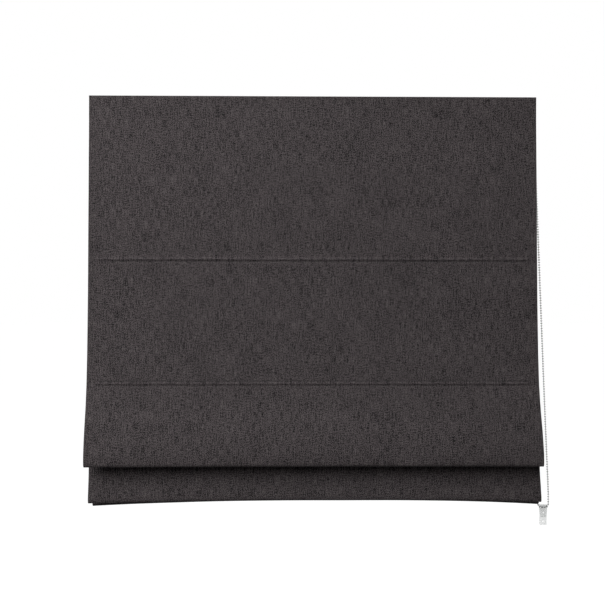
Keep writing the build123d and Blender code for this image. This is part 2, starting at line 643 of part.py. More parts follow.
def skirt_length():
    return sqrt((SKIRT_BOTTOM[0] - SKIRT_TOP[0]) ** 2 + (SKIRT_BOTTOM[1] - SKIRT_TOP[1]) ** 2)


def hem_depth():
    """From the hem's front layer to its back layer, middle to middle."""
    return BAR_THICK + CLOTH_THICK + 2 * GAP


def cloth_skirt():
    length, back = skirt_length(), hem_depth()
    corners = [(0, 0), (length, 0), (length, back), (length - HEM, back)]
    line = FilletPolyline(*[skirt_point(*corner) for corner in corners], radius=0.48 * back)
    return along_x(strip(line, CLOTH_THICK), -HALF_WIDTH, HALF_WIDTH)


def bar_section():
    top = skirt_length() - 0.48 * hem_depth() - BAR_HEIGHT
    low = top + BAR_HEIGHT
    front, back = CLOTH_THICK / 2 + GAP, CLOTH_THICK / 2 + GAP + BAR_THICK
    corners = [(top, front), (low, front), (low, back), (top, back)]
    return make_face(Polyline(*[skirt_point(*corner) for corner in corners], close=True))


def bottom_bar():
    end = HALF_WIDTH - SIDE_HEM
    section = bar_section()
    return along_x(fillet(section.vertices(), 1.2), -end, end)


def bottom_bar_caps():
    start = HALF_WIDTH - SIDE_HEM + 0.1
    section = fillet(bar_section().vertices(), 1.2)
    return Compound([
        along_x(section, start, start + BAR_CAP),
        along_x(section, -start - BAR_CAP, -start),
    ])


# Chain safety clip: two clear halves, screwed to the wall, with a round channel for the chain
def clip_outline(height, foot):
    """Seen from the front: straight top, tapering sides, and a foot of full width if it has one."""
    waist = CLIP_TOP - CLIP_COVER
    half, narrow = CLIP_WIDTH / 2, CLIP_WIDTH / 2 - CLIP_TAPER
    points = [(half, CLIP_TOP), (narrow, waist)]
    if foot:
        points += [(narrow + 1.0, waist - 1.5), (narrow + 1.0, CLIP_TOP - height)]
    points = points + [(-x, z) for x, z in reversed(points)]
    return make_face(Polyline(*[(CLIP_X + x, z) for x, z in points], close=True))


def along_y(section, start, end):
    """Extrude an (x, z) section from one y to another, towards the room."""
    return extrude(Plane.XZ.offset(-start) * section, amount=start - end)


def clip_channel():
    turn = Pos(CLIP_X, CLIP_PLANE_Y, CLIP_TURN_Z) * Rot(90, 0, 0)
    return turn * Torus(CLIP_TURN_R, BEAD_D / 2 + GAP)


def clip_holes():
    """The heights of the clip's two screw holes."""
    first = CLIP_TOP - CLIP_FIRST_HOLE
    return [first, first - CLIP_HOLE_PITCH]


def tensioner_base():
    base = along_y(clip_outline(CLIP_BASE, True), 0, -CLIP_HALF)
    low_edges = base.edges().filter_by(Axis.Y).sort_by(Axis.Z)[:2]
    base = fillet(low_edges, 3.0)
    base -= clip_channel()
    for z in clip_holes():
        base -= Pos(CLIP_X, -CLIP_HALF / 2, z) * Rot(90, 0, 0) * Cylinder(CLIP_HOLE_R, 2 * CLIP_HALF)
    rim = post(CLIP_RIM_R + CLIP_RIM_WALL, CLIP_RIM_HEIGHT) - post(CLIP_RIM_R, CLIP_RIM_HEIGHT)
    return base + Pos(CLIP_X, -CLIP_HALF, clip_holes()[1]) * Rot(90, 0, 0) * rim


def tensioner_cover():
    cover = along_y(clip_outline(CLIP_BASE, False), -CLIP_HALF, -2 * CLIP_HALF)
    cover = fillet(cover.faces().sort_by(Axis.Y)[0].edges(), 0.8)
    cover -= clip_channel()
    z = clip_holes()[0]
    cover -= Pos(CLIP_X, -CLIP_HALF * 1.5, z) * Rot(90, 0, 0) * Cylinder(CLIP_HOLE_R, 2 * CLIP_HALF)
    cover -= Pos(CLIP_X, -2 * CLIP_HALF, z) * Rot(90, 0, 0) * Cone(CLIP_HOLE_R + 1.2, CLIP_HOLE_R, 2.4)
    return cover


SIDES = {"left": -1, "right": 1}
CORDS = dict(zip(("left", "middle", "right"), CORD_X))

parts = {
    "headrail": headrail(),
    "loop_tape": tape(RAIL_FRONT),
    "hook_tape": tape(RAIL_FRONT - TAPE_THICK),
    "end_cap": end_cap(),
    "control_housing": control_housing(),
    "chain_guard": chain_guard(),
    "guard_screws": guard_screws(),
    "chain_wheel": chain_wheel(),
    "brake_spring": brake_spring(),
    "beads_on_wheel": beads_on_wheel(),
    "bead_chain": bead_chain(),
    "chain_connector": chain_connector(),
    "drive_shaft": drive_shaft(),
    "cloth_top_panel": cloth(TOP_PROFILE),
    "cloth_second_panel": cloth(SECOND_PROFILE),
    "cloth_front_fold": cloth(FRONT_FOLD),
    "cloth_second_fold": cloth(SECOND_FOLD),
    "cloth_skirt": cloth_skirt(),
    "bottom_bar": bottom_bar(),
    "bottom_bar_caps": bottom_bar_caps(),
    "cord_stoppers": cord_stoppers(),
    "tensioner_base": tensioner_base(),
    "tensioner_cover": tensioner_cover(),
}
for side, sign in SIDES.items():
    x = sign * BRACKET_SPAN / 2
    parts[f"bracket_{side}"] = bracket(x)
    parts[f"bracket_lever_{side}"] = bracket_lever(x)
    parts[f"bracket_cam_{side}"] = bracket_cam(x)
for place, x in CORDS.items():
    parts[f"cord_spool_{place}"] = cord_spool(x)
    parts[f"cord_winding_{place}"] = cord_winding(x)
    parts[f"spool_cradle_{place}"] = spool_cradle(x)
    parts[f"lift_cord_{place}"] = lift_cord(x, f"lift_cord_{place}")
for n in range(len(BATTENS)):
    parts[f"batten_{n + 1}"] = batten(n)
    parts[f"batten_pocket_{n + 1}"] = batten_pocket(n)
    parts[f"batten_caps_{n + 1}"] = batten_caps(n)
    parts[f"ring_guides_{n + 1}"] = ring_guides(n)

os.makedirs("parts", exist_ok=True)
for name, solid in parts.items():
    export_step(solid, f"parts/{name}.step")
print(len(parts), "parts")
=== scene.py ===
import bpy
import math
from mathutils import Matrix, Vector


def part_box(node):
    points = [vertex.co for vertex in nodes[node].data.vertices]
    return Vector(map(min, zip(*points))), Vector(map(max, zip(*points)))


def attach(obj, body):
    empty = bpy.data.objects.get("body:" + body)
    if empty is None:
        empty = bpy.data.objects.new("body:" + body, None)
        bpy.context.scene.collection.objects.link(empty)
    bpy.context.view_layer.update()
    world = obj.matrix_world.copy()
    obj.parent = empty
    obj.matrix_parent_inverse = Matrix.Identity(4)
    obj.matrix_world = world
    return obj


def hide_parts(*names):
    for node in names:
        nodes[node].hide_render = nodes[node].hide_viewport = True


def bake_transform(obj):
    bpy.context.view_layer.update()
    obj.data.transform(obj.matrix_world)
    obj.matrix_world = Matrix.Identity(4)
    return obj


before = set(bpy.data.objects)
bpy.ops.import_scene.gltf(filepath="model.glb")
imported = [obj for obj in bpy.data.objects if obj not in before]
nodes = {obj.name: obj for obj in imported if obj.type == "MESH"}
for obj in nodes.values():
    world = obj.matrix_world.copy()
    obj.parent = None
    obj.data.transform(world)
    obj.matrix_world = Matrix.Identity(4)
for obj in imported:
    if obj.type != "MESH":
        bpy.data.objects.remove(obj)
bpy.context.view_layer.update()        # the imported meshes by name, their places baked into them
mm = 0.001


# Small helpers

def linearColour(hexCode):      # an sRGB hex colour as Blender's linear values
    channels = [int(hexCode[n:n + 2], 16) / 255 for n in (1, 3, 5)]
    linear = [c / 12.92 if c <= 0.04045 else ((c + 0.055) / 1.055) ** 2.4 for c in channels]
    return (*linear, 1)


def addNode(tree, kind, settings={}, inputs={}):    # an input is a value or a socket to link from
    node = tree.nodes.new(kind)
    for name, value in settings.items():
        setattr(node, name, value)
    for name, value in inputs.items():
        if isinstance(value, bpy.types.NodeSocket):
            tree.links.new(value, node.inputs[name])
        else:
            node.inputs[name].default_value = value
    return node


def newMaterial(name):
    material = bpy.data.materials.new(name)
    material.use_nodes = True
    tree = material.node_tree
    tree.nodes.clear()
    shader = addNode(tree, "ShaderNodeBsdfPrincipled")
    addNode(tree, "ShaderNodeOutputMaterial", inputs={"Surface": shader.outputs[0]})
    return material, tree, shader


def deselectAll():
    if bpy.context.mode != "OBJECT":
        bpy.ops.object.mode_set(mode="OBJECT")
    bpy.ops.object.select_all(action="DESELECT")


def makeActive(piece):
    deselectAll()
    piece.select_set(True)
    bpy.context.view_layer.objects.active = piece


def applyModifiers(piece):
    makeActive(piece)
    for modifier in list(piece.modifiers):
        bpy.ops.object.modifier_apply(modifier=modifier.name)


def settle(piece, name, material, body, angle=40):     # its place goes into its mesh
    makeActive(piece)
    bpy.ops.object.transform_apply(location=True, rotation=True, scale=True)
    bpy.ops.object.shade_smooth_by_angle(angle=math.radians(angle))
    piece.name = name
    piece.data.materials.clear()
    piece.data.materials.append(material)
    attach(piece, body)
    return piece


def meshObject(name, points, faces, material):
    mesh = bpy.data.meshes.new(name)
    mesh.from_pydata([tuple(p) for p in points], [], faces)
    mesh.update()
    mesh.shade_smooth()
    piece = bpy.data.objects.new(name, mesh)
    bpy.context.collection.objects.link(piece)
    piece.data.materials.append(material)
    return piece


def copiesOf(shape, places, name, material):    # a place comes with the way the shape's -Z points
    points = [v.co.copy() for v in shape.data.vertices]
    faces = [tuple(p.vertices) for p in shape.data.polygons]
    allPoints, allFaces = [], []
    for place, direction in places:
        turn = direction.to_track_quat("-Z", "X")
        start = len(allPoints)
        allPoints += [place + turn @ p for p in points]
        allFaces += [tuple(start + i for i in face) for face in faces]
    bpy.data.objects.remove(shape)
    return meshObject(name, allPoints, allFaces, material)


# Camera: 2 m in front of the cloth and a little to the left of its middle, level
camera = {
    "place": (-0.080, -2.0438, -0.459),
    "turn": -0.83,          # degrees to the right
    "roll": 0.05,
    "focalPixels": 861.2,
    "imagePixels": 605,
    "shiftX": 0.01845,
}


def makeCamera():
    bpy.ops.object.camera_add(location=camera["place"])
    seen = bpy.context.object
    seen.name = "camera"
    seen.rotation_euler = (math.radians(90), 0, math.radians(camera["turn"]))
    seen.rotation_euler.rotate_axis("Z", math.radians(camera["roll"]))
    seen.data.sensor_width = 36
    seen.data.lens = camera["focalPixels"] / camera["imagePixels"] * seen.data.sensor_width
    seen.data.shift_x = camera["shiftX"]
    seen.data.clip_end = 200
    bpy.context.scene.camera = seen


makeCamera()
print("camera done")


# Where the cloth and the battens lie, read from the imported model
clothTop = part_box("cloth_top_panel")[1].z
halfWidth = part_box("cloth_top_panel")[1].x
modelCloth = 0.8 * mm       # the cloth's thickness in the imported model
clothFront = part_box("hook_tape")[0].y - modelCloth
rodBehind = 4.1 * mm        # a rod's middle to the cloth's front


def rodPlace(n):
    low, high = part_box(f"batten_{n}")
    middle = (low + high) / 2
    return middle.y, middle.z


def battenPoint(n):         # forward of the top edge and below it
    y, z = rodPlace(n)
    return clothFront - (y - rodBehind), clothTop - z


# Cords: a spline with the same points as the cord's route
def pointsOnRoute(route):       # the route's NURBS curve, read as a line of points
    curve = bpy.data.curves.new("route", "CURVE")
    curve.dimensions = "3D"
    curve.resolution_u = 24
    spline = curve.splines.new("NURBS")
    spline.points.add(len(route) - 1)
    for point, place in zip(spline.points, route):
        point.co = (*place, 1)
    spline.order_u = 3
    spline.use_endpoint_u = True
    carrier = bpy.data.objects.new("route", curve)
    mesh = bpy.data.meshes.new_from_object(carrier)
    points = [v.co.copy() for v in mesh.vertices]
    bpy.data.objects.remove(carrier)
    bpy.data.meshes.remove(mesh)
    return points


def evenly(points, spacing):        # places along a line of points, as (place, direction)
    lengths = [0]
    for a, b in zip(points, points[1:]):
        lengths.append(lengths[-1] + (b - a).length)
    count = round(lengths[-1] / spacing)
    step = lengths[-1] / count
    places, n = [], 0
    for k in range(count):
        at = (k + 0.5) * step
        while lengths[n + 1] < at:
            n += 1
        share = (at - lengths[n]) / (lengths[n + 1] - lengths[n])
        direction = (points[n + 1] - points[n]).normalized()
        places.append((points[n].lerp(points[n + 1], share), direction))
    return places


chain = {
    "route": [      # down from the front of the wheel, round the safety clip and back up behind
        (0.5146, -0.03546, -0.0085), (0.5263, -0.0280, -0.2290), (0.5372, -0.0204, -0.4530),
        (0.5522, -0.0104, -0.7500), (0.5612, -0.0042, -0.9050), (0.5612, -0.0042, -0.9332),
        (0.5612, -0.0042, -0.9405), (0.5565, -0.0042, -0.9454), (0.5490, -0.0042, -0.9454),
        (0.5415, -0.0042, -0.9454), (0.5368, -0.0042, -0.9405), (0.5368, -0.0042, -0.9332),
        (0.5368, -0.0042, -0.9050), (0.5295, -0.0074, -0.6500), (0.5215, -0.0103, -0.3300),
        (0.5146, -0.01254, -0.0085),
    ],
    "length": 1.8898,
    "bead": 4.5 * mm,
    "pitch": 6.0 * mm,
    "link": 1.2 * mm,
    "sunk": 0.3 * mm,       # how far a link reaches into the next bead
}


def makeBead():             # one bead with the link that hangs from it, its axis along Z
    deselectAll()
    bpy.ops.mesh.primitive_uv_sphere_add(segments=8, ring_count=6, radius=chain["bead"] / 2)
    bead = bpy.context.object
    lowest = min(v.co.z for v in bead.data.vertices)
    for part in (bead.data.vertices, bead.data.edges, bead.data.polygons):
        for item in part:
            item.select = False
    for vertex in bead.data.vertices:
        vertex.select = vertex.co.z < lowest + 0.01 * mm
    bpy.ops.object.mode_set(mode="EDIT")
    bpy.ops.mesh.select_mode(type="VERT")
    bpy.ops.mesh.bevel(offset=chain["link"] / 2, offset_type="WIDTH", affect="VERTICES")
    bpy.ops.mesh.select_mode(type="FACE")
    bpy.ops.object.mode_set(mode="OBJECT")
    foot = min(bead.data.polygons, key=lambda p: p.center.z)
    for polygon in bead.data.polygons:
        polygon.select = polygon.index == foot.index
    bpy.ops.object.mode_set(mode="EDIT")
    reach = chain["pitch"] - chain["bead"] + chain["sunk"]
    bpy.ops.mesh.extrude_region_move(TRANSFORM_OT_translate={"value": (0, 0, -reach)})
    bpy.ops.object.mode_set(mode="OBJECT")
    return bead


def makeChain(material):
    points = pointsOnRoute(chain["route"])
    beads = copiesOf(makeBead(), evenly(points, chain["pitch"]), "bead_chain_loop", material)
    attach(beads, "frame")
    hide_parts("bead_chain")


# Materials

linen = {
    "dark": "#080607",
    "light": "#585253",
    "thread": 1.1,          # mm between threads, drawn coarser than they are so that they show
    "slub": 1.7,            # mm, how wide a thick place in a thread looks
    "warpLength": 26,       # mm, how long it looks along the drop
    "weftLength": 15,
    "blotch": (60, 90),     # mm, the faint larger patches
    "shares": {"warp": 1.3, "weft": 1.1, "fleck": 2.6, "blotch": 0.25, "weave": 0.10},
    "spread": 0.52,         # smaller gives more contrast between dark and light yarns
}


def linenMaterial(name, dark, light):
    # Woven linen: yarns of uneven thickness and tone, matt, with its streaks mostly along the drop
    material, tree, shader = newMaterial(name)
    place = addNode(tree, "ShaderNodeUVMap", {"uv_map": "clothUv"}).outputs[0]
    split = addNode(tree, "ShaderNodeSeparateXYZ", inputs={0: place})
    threads = []
    for axis in (0, 1):
        phase = addNode(tree, "ShaderNodeMath", {"operation": "MULTIPLY"}, {
            0: split.outputs[axis], 1: math.pi / (linen["thread"] * mm)})
        wave = addNode(tree, "ShaderNodeMath", {"operation": "SINE"}, {0: phase.outputs[0]})
        threads.append(wave.outputs[0])
    weave = addNode(tree, "ShaderNodeMath", {"operation": "MULTIPLY"}, {
        0: threads[0], 1: threads[1]}).outputs[0]

    def yarns(across, along, detail):
        scaled = addNode(tree, "ShaderNodeMapping", inputs={
            "Vector": place, "Scale": (1 / (across * mm), 1 / (along * mm), 1)})
        noise = addNode(tree, "ShaderNodeTexNoise", {"noise_dimensions": "2D"}, {
            "Vector": scaled.outputs[0], "Scale": 1.0, "Detail": detail, "Roughness": 0.5})
        return noise.outputs[0]

    slub, shares = linen["slub"], linen["shares"]
    layers = [
        (yarns(slub, linen["warpLength"], 1.0), shares["warp"]),
        (yarns(linen["weftLength"], slub, 1.0), shares["weft"]),
        (yarns(slub, slub, 0.0), shares["fleck"]),
        (yarns(*linen["blotch"], 1.0), shares["blotch"]),
        (weave, shares["weave"]),
    ]
    total = None
    for source, share in layers:
        total = addNode(tree, "ShaderNodeMath", {"operation": "MULTIPLY_ADD"}, {
            0: source, 1: share, 2: total.outputs[0] if total else 0.0})
    middle = sum(shares.values()) / 2
    share = addNode(tree, "ShaderNodeMapRange", inputs={
        "Value": total.outputs[0],
        "From Min": middle - linen["spread"], "From Max": middle + linen["spread"]})
    colour = addNode(tree, "ShaderNodeMix", {"data_type": "RGBA"}, {
        "Factor": share.outputs[0], "A": linearColour(dark), "B": linearColour(light)})
    tree.links.new(colour.outputs["Result"], shader.inputs["Base Color"])
    height = addNode(tree, "ShaderNodeMath", {"operation": "MULTIPLY_ADD"}, {
        0: total.outputs[0], 1: 0.5, 2: weave})
    bump = addNode(tree, "ShaderNodeBump", inputs={
        "Strength": 0.3, "Distance": 0.25 * mm, "Height": height.outputs[0]})
    tree.links.new(bump.outputs[0], shader.inputs["Normal"])
    shader.inputs["Roughness"].default_value = 0.92
    shader.inputs["Specular IOR Level"].default_value = 0.12
    return material


def mouldedMaterial(name, hexCode, roughness=0.4, grain=0.6, relief=0.05):
    # Moulded or coated plastic: a fine grain that breaks up its gloss a little
    material, tree, shader = newMaterial(name)
    place = addNode(tree, "ShaderNodeTexCoord").outputs["Object"]
    noise = addNode(tree, "ShaderNodeTexNoise", inputs={
        "Vector": place, "Scale": 1 / (grain * mm), "Detail": 2.0})
    gloss = addNode(tree, "ShaderNodeMapRange", inputs={
        "Value": noise.outputs[0], "To Min": roughness * 0.85, "To Max": roughness * 1.15})
    tree.links.new(gloss.outputs[0], shader.inputs["Roughness"])
    bump = addNode(tree, "ShaderNodeBump", inputs={
        "Strength": relief, "Distance": 0.1 * mm, "Height": noise.outputs[0]})
    tree.links.new(bump.outputs[0], shader.inputs["Normal"])
    patches = addNode(tree, "ShaderNodeTexNoise", inputs={
        "Vector": place, "Scale": 1 / (25 * mm), "Detail": 3.0})
    tone = addNode(tree, "ShaderNodeMapRange", inputs={
        "Value": patches.outputs[0], "To Min": 0.93, "To Max": 1.03})
    shade = addNode(tree, "ShaderNodeMix", {"data_type": "RGBA", "blend_type": "MULTIPLY"}, {
        "Factor": 1.0, "A": linearColour(hexCode), "B": tone.outputs[0]})
    tree.links.new(shade.outputs["Result"], shader.inputs["Base Color"])
    return material


def clearMaterial(name, hexCode, body):
    # Clear moulded plastic in thin walls, with faint flow marks: most light goes straight through
    material, tree, shader = newMaterial(name)
    place = addNode(tree, "ShaderNodeTexCoord").outputs["Object"]
    flow = addNode(tree, "ShaderNodeTexNoise", inputs={
        "Vector": place, "Scale": 1 / (6 * mm), "Detail": 1.0})
    bump = addNode(tree, "ShaderNodeBump", inputs={
        "Strength": 0.05, "Distance": 0.2 * mm, "Height": flow.outputs[0]})
    tree.links.new(bump.outputs[0], shader.inputs["Normal"])
    shader.inputs["Base Color"].default_value = linearColour(hexCode)
    shader.inputs["Roughness"].default_value = 0.12
    shader.inputs["IOR"].default_value = 1.58
    shader.inputs["Alpha"].default_value = body
    return material


def metalMaterial(name, hexCode, roughness, lines, stretch):
    # Drawn, rolled or plated metal: fine lines along the way it was worked
    material, tree, shader = newMaterial(name)
    place = addNode(tree, "ShaderNodeTexCoord").outputs["Object"]
    spread = addNode(tree, "ShaderNodeMapping", inputs={"Vector": place, "Scale": stretch})
    noise = addNode(tree, "ShaderNodeTexNoise", inputs={
        "Vector": spread.outputs[0], "Scale": 1 / (lines * mm), "Detail": 3.0})
    gloss = addNode(tree, "ShaderNodeMapRange", inputs={
        "Value": noise.outputs[0], "To Min": roughness * 0.75, "To Max": roughness * 1.3})
    tree.links.new(gloss.outputs[0], shader.inputs["Roughness"])
    bump = addNode(tree, "ShaderNodeBump", inputs={
        "Strength": 0.08, "Distance": 0.05 * mm, "Height": noise.outputs[0]})
    tree.links.new(bump.outputs[0], shader.inputs["Normal"])
    shader.inputs["Base Color"].default_value = linearColour(hexCode)
    shader.inputs["Metallic"].default_value = 1.0
    return material


def braidMaterial(name, hexCode, pitch):
    # Braided or twisted polyester: a fine diagonal pattern of plaited yarns, with painted shade in
    # the grooves between them
    material, tree, shader = newMaterial(name)
    place = addNode(tree, "ShaderNodeTexCoord").outputs["Object"]
    split = addNode(tree, "ShaderNodeSeparateXYZ", inputs={0: place})
    waves = []
    for sign in (1, -1):
        lean = addNode(tree, "ShaderNodeMath", {"operation": "MULTIPLY_ADD"}, {
            0: split.outputs[0], 1: float(sign), 2: split.outputs[2]})
        phase = addNode(tree, "ShaderNodeMath", {"operation": "MULTIPLY"}, {
            0: lean.outputs[0], 1: 2 * math.pi / (pitch * mm)})
        wave = addNode(tree, "ShaderNodeMath", {"operation": "SINE"}, {0: phase.outputs[0]})
        waves.append(wave.outputs[0])
    plait = addNode(tree, "ShaderNodeMath", {"operation": "MULTIPLY"}, {0: waves[0], 1: waves[1]})
    # painted shade: the colour darkens to 0.82 where the plait is low, in the grooves between the
    # yarns
    share = addNode(tree, "ShaderNodeMapRange", inputs={
        "Value": plait.outputs[0], "From Min": -1.0, "To Min": 0.82, "To Max": 1.0})
    shade = addNode(tree, "ShaderNodeMix", {"data_type": "RGBA", "blend_type": "MULTIPLY"}, {
        "Factor": 1.0, "A": linearColour(hexCode), "B": share.outputs[0]})
    tree.links.new(shade.outputs["Result"], shader.inputs["Base Color"])
    bump = addNode(tree, "ShaderNodeBump", inputs={
        "Strength": 0.5, "Distance": 0.15 * mm, "Height": plait.outputs[0]})
    tree.links.new(bump.outputs[0], shader.inputs["Normal"])
    shader.inputs["Roughness"].default_value = 0.75
    return material


def napMaterial(name, hexCode):
    # Hook and loop tape: a dense pile of tiny loops, matt, with painted shade between the loops
    # that leaves their tips lighter
    material, tree, shader = newMaterial(name)
    place = addNode(tree, "ShaderNodeTexCoord").outputs["Object"]
    pile = addNode(tree, "ShaderNodeTexVoronoi", inputs={"Vector": place, "Scale": 1 / (0.9 * mm)})
    # painted shade: darker away from each loop's middle, where the pile's bump is low
    share = addNode(tree, "ShaderNodeMapRange", inputs={
        "Value": pile.outputs["Distance"], "To Min": 1.0, "To Max": 0.7})
    shade = addNode(tree, "ShaderNodeMix", {"data_type": "RGBA", "blend_type": "MULTIPLY"}, {
        "Factor": 1.0, "A": linearColour(hexCode), "B": share.outputs[0]})
    tree.links.new(shade.outputs["Result"], shader.inputs["Base Color"])
    bump = addNode(tree, "ShaderNodeBump", {"invert": True}, {
        "Strength": 0.7, "Distance": 0.4 * mm, "Height": pile.outputs["Distance"]})
    tree.links.new(bump.outputs[0], shader.inputs["Normal"])
    shader.inputs["Roughness"].default_value = 0.95
    return material


linenWeave = linenMaterial("linenWeave", linen["dark"], linen["light"])
pocketTape = linenMaterial("twillTape", "#1a1818", "#4a4647")
sewingThread = braidMaterial("polyesterThread", "#2a2728", 0.6)
housingPlastic = mouldedMaterial("housingAbs", "#d9d9d5", 0.45, 0.5, 0.12)
wheelPlastic = mouldedMaterial("wheelAcetal", "#e0e0dc", 0.35, 0.8)
powderCoat = mouldedMaterial("powderCoatedAluminium", "#dcdcd9", 0.4, 0.7, 0.15)
fibreglass = mouldedMaterial("fibreglassRod", "#d8d6c8", 0.35, 0.4, 0.1)
ringPlastic = mouldedMaterial("ringNylon", "#dcdfdf", 0.3, 1.0)
cordPolyester = braidMaterial("polyesterCord", "#cfcec9", 0.8)
loopTape = napMaterial("loopTapePile", "#d6d5d0")
hookTape = napMaterial("hookTapePile", "#3a3738")
clearPlastic = clearMaterial("clearPolycarbonate", "#dfe4e2", 0.25)
beadResin = clearMaterial("beadNylon", "#b4b6b6", 0.55)
zincSteel = metalMaterial("zincPlatedSteel", "#b9bcbf", 0.35, 0.5, (1, 1, 1))
millAluminium = metalMaterial("millAluminium", "#c3c5c7", 0.35, 0.3, (0.02, 1, 1))
print("materials done")

makeChain(beadResin)
print("bead chain done")


# Cloth. Each stretch between two battens is a mesh of its own, and they meet on the batten lines.
cloth = {
    "thickness": 0.4 * mm,
    "sideHem": 22 * mm,
    "hemRadius": 0.8 * mm,
    "wave": 0.35 * mm,      # how uneven the hanging cloth is
    "calm": 60 * mm,        # how far below its top edge it is still flat
    "ridgeEnd": 506 * mm,   # where the ridges over the rods end, from the cloth's middle
    "ridgeFade": 16 * mm,
    "ridges": (2.0 * mm, 1.6 * mm),     # how proud the seams over the first two rods stand
    "held": 36 * mm,        # how far down the rail holds it
    "column": 9 * mm,
    "row": 3.5 * mm,
    "gathered": 0.13,       # how much closer rows and columns lie near both ends
}


def rowShare(t):
    return t - cloth["gathered"] * math.sin(2 * math.pi * t)


def smoothLine(points, spacing):    # a smooth curve through flat points, as (point, distance)
    padded = [2 * points[0] - points[1], *points, 2 * points[-1] - points[-2]]
    fine = []
    for a, b, c, d in zip(padded, padded[1:], padded[2:], padded[3:]):
        into, out = max((b - a).length, 1e-6), max((d - c).length, 1e-6)
        run = (c - b).length
        startPull = (c - a) * (run / (run + into))
        endPull = (d - b) * (run / (run + out))
        for k in range(30):
            t = k / 30
            fine.append(b * (2 * t ** 3 - 3 * t ** 2 + 1) + c * (3 * t ** 2 - 2 * t ** 3)
                        + startPull * (t ** 3 - 2 * t ** 2 + t) + endPull * (t ** 3 - t ** 2))
    fine.append(points[-1])
    lengths = [0]
    for a, b in zip(fine, fine[1:]):
        lengths.append(lengths[-1] + (b - a).length)
    count = max(8, round(lengths[-1] / spacing))
    line, n = [], 0
    for k in range(count + 1):
        at = lengths[-1] * rowShare(k / count)
        while n < len(fine) - 2 and lengths[n + 1] < at:
            n += 1
        share = (at - lengths[n]) / max(lengths[n + 1] - lengths[n], 1e-9)
        line.append((fine[n].lerp(fine[n + 1], min(max(share, 0), 1)), at))
    return line, lengths[-1]


def columnPlaces():         # (x, depth behind the face, distance over the cloth), left to right
    radius = cloth["hemRadius"]
    flat = halfWidth - radius
    count = round(2 * flat / cloth["column"])
    face = [(-flat + 2 * flat * rowShare(k / count), 0) for k in range(count + 1)]
    angles = [math.pi * k / 6 for k in range(1, 6)]
    turn = [(flat + radius * math.sin(a), radius - radius * math.cos(a)) for a in angles]
    back = [(flat - cloth["sideHem"] * k / 4, 2 * radius) for k in range(5)]
    right = turn + back
    places = [(-x, depth) for x, depth in reversed(right)] + face + right
    middle = len(places) // 2
    over = [0.0] * len(places)
    for k in range(middle + 1, len(places)):
        over[k] = over[k - 1] + math.dist(places[k], places[k - 1])
    for k in range(middle - 1, -1, -1):
        over[k] = over[k + 1] - math.dist(places[k], places[k + 1])
    return [(x, depth, u) for (x, depth), u in zip(places, over)]


def clothWave(x, along, length, calm):      # none at the battens
    share = min(max((along - calm) / (length - calm), 0), 1)
    wave = math.sin(x * 17 + along * 9)
    wave += 0.7 * math.sin(x * 31 - along * 23 + 2)
    wave += 0.5 * math.sin(x * 7 + 1)
    return cloth["wave"] * wave * math.sin(math.pi * share)


def clothStretch(name, points, above, slide, fall, wave, calm, lifts):
    line, length = smoothLine([Vector(p) for p in points], cloth["row"])
    columns = columnPlaces()
    vertices, faces, places = [], [], []
    for row, (point, along) in enumerate(line):
        before, after = line[max(row - 1, 0)][0], line[min(row + 1, len(line) - 1)][0]
        tangent = (after - before).normalized()
        inward = Vector((-tangent.y, tangent.x))       # behind the cloth's face
        share = along / length
        seam = sum(height * seamLift(along - length * end) for end, height in lifts)
        sideways = slide[0] + (slide[1] - slide[0]) * share
        lower = fall[0] * (1 - share) + fall[1] * share
        for x, depth, over in columns:
            proud = wave * clothWave(x, along, length, calm) + seam * rodShare(x)
            forward, below = point + inward * (depth - proud)
            height = clothTop - below - lower * cornerFall(x)
            vertices.append((x + sideways, clothFront - forward, height))
            places.append((over, -(above + along)))
    wide = len(columns)
    for row in range(len(line) - 1):
        for k in range(wide - 1):
            a = row * wide + k
            faces.append((a, a + wide, a + wide + 1, a + 1))
    sheet = meshObject(name, vertices, faces, linenWeave)
    layer = sheet.data.uv_layers.new(name="clothUv")
    for loop in sheet.data.loops:
        layer.data[loop.index].uv = places[loop.vertex_index]
    solid = sheet.modifiers.new("thickness", "SOLIDIFY")
    solid.thickness = cloth["thickness"]
    solid.offset = -1
    applyModifiers(sheet)
    return sheet, length


def cornerFall(x):      # a free edge hangs lowest at its corners, and a little more at the left
    side = min(abs(x) / halfWidth, 1)
    return side ** 2.25 if x < 0 else 0.86 * side ** 3.2


def seamLift(drop):     # how proud the cloth is near a rod, by the drop below it: ridge, groove
    shape = [(-9.5, 0.0), (-7, 0.15), (-4.6, 0.7), (-2.6, 1.0), (-0.8, 0.66), (1, 0.0),
             (2.8, -0.32), (4.8, -0.12), (7, 0.0)]
    for (a, low), (b, high) in zip(shape, shape[1:]):
        if a * mm <= drop < b * mm:
            t = (drop / mm - a) / (b - a)
            return low + (high - low) * (3 * t * t - 2 * t ** 3)
    return 0.0


def rodShare(x):        # the ridge runs out where the rod ends, short of the cloth's sides
    t = min(max((cloth["ridgeEnd"] - abs(x)) / cloth["ridgeFade"], 0), 1)
    return 3 * t * t - 2 * t ** 3


def near(level, *points):   # points in mm: forward of the top edge, and below that level
    return [(forward * mm, level + below * mm) for forward, below in points]


